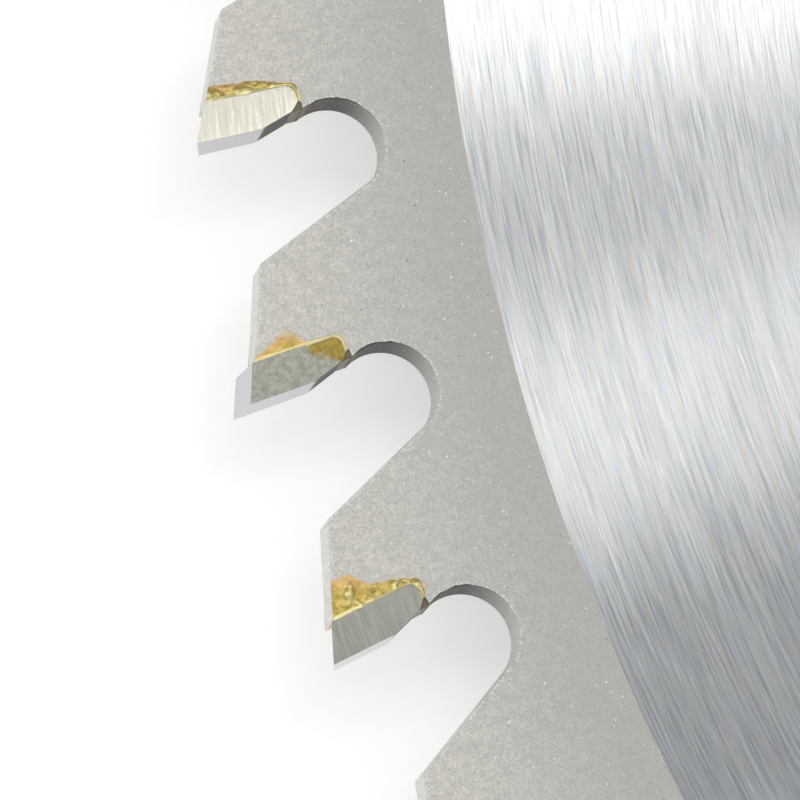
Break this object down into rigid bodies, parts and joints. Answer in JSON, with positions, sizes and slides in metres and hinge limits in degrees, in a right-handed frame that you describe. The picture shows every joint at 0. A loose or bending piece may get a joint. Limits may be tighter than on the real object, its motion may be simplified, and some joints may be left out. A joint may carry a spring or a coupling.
{
  "type": "tct circular saw blade",
  "caption": "Flat round steel saw blade with a central arbor bore, deep rounded gullets and brazed carbide tips with alternate top bevels, clamped on a saw's arbor to cut wood.",
  "frame": {"origin": "centre of the bore, half way through the plate", "axes": "+Z along the arbor's axis; the teeth point counter-clockwise seen from +Z, and a shorter tip's cutting corner lies on +X"},
  "size_m": [0.254, 0.255, 0.0024],
  "materials": {
    "plate_steel": "bead-blasted rim round a circularly ground web",
    "tungsten_carbide": "ground tungsten carbide",
    "braze": "solidified silver braze, gold with copper stains"
  },
  "bodies": {
    "root": {"blade_plate": "plate_steel", "tip_pair_01": "tungsten_carbide", "tip_pair_02": "tungsten_carbide", "tip_pair_03": "tungsten_carbide", "tip_pair_04": "tungsten_carbide", "tip_pair_05": "tungsten_carbide", "tip_pair_06": "tungsten_carbide", "tip_pair_07": "tungsten_carbide", "tip_pair_08": "tungsten_carbide", "tip_pair_09": "tungsten_carbide", "tip_pair_10": "tungsten_carbide", "tip_pair_11": "tungsten_carbide", "tip_pair_12": "tungsten_carbide", "tip_pair_13": "tungsten_carbide", "tip_pair_14": "tungsten_carbide", "tip_pair_15": "tungsten_carbide", "tip_pair_16": "tungsten_carbide", "tip_pair_17": "tungsten_carbide", "tip_pair_18": "tungsten_carbide", "tip_pair_19": "tungsten_carbide", "tip_pair_20": "tungsten_carbide", "tip_pair_21": "tungsten_carbide", "tip_pair_22": "tungsten_carbide", "tip_pair_23": "tungsten_carbide", "tip_pair_24": "tungsten_carbide", "tip_pair_25": "tungsten_carbide", "tip_pair_26": "tungsten_carbide", "tip_pair_27": "tungsten_carbide", "tip_pair_28": "tungsten_carbide", "tip_pair_29": "tungsten_carbide", "tip_pair_30": "tungsten_carbide", "braze_group_1": "braze", "braze_group_2": "braze", "braze_group_3": "braze", "braze_group_4": "braze", "braze_group_5": "braze", "braze_group_6": "braze"}
  },
  "joints": []
}
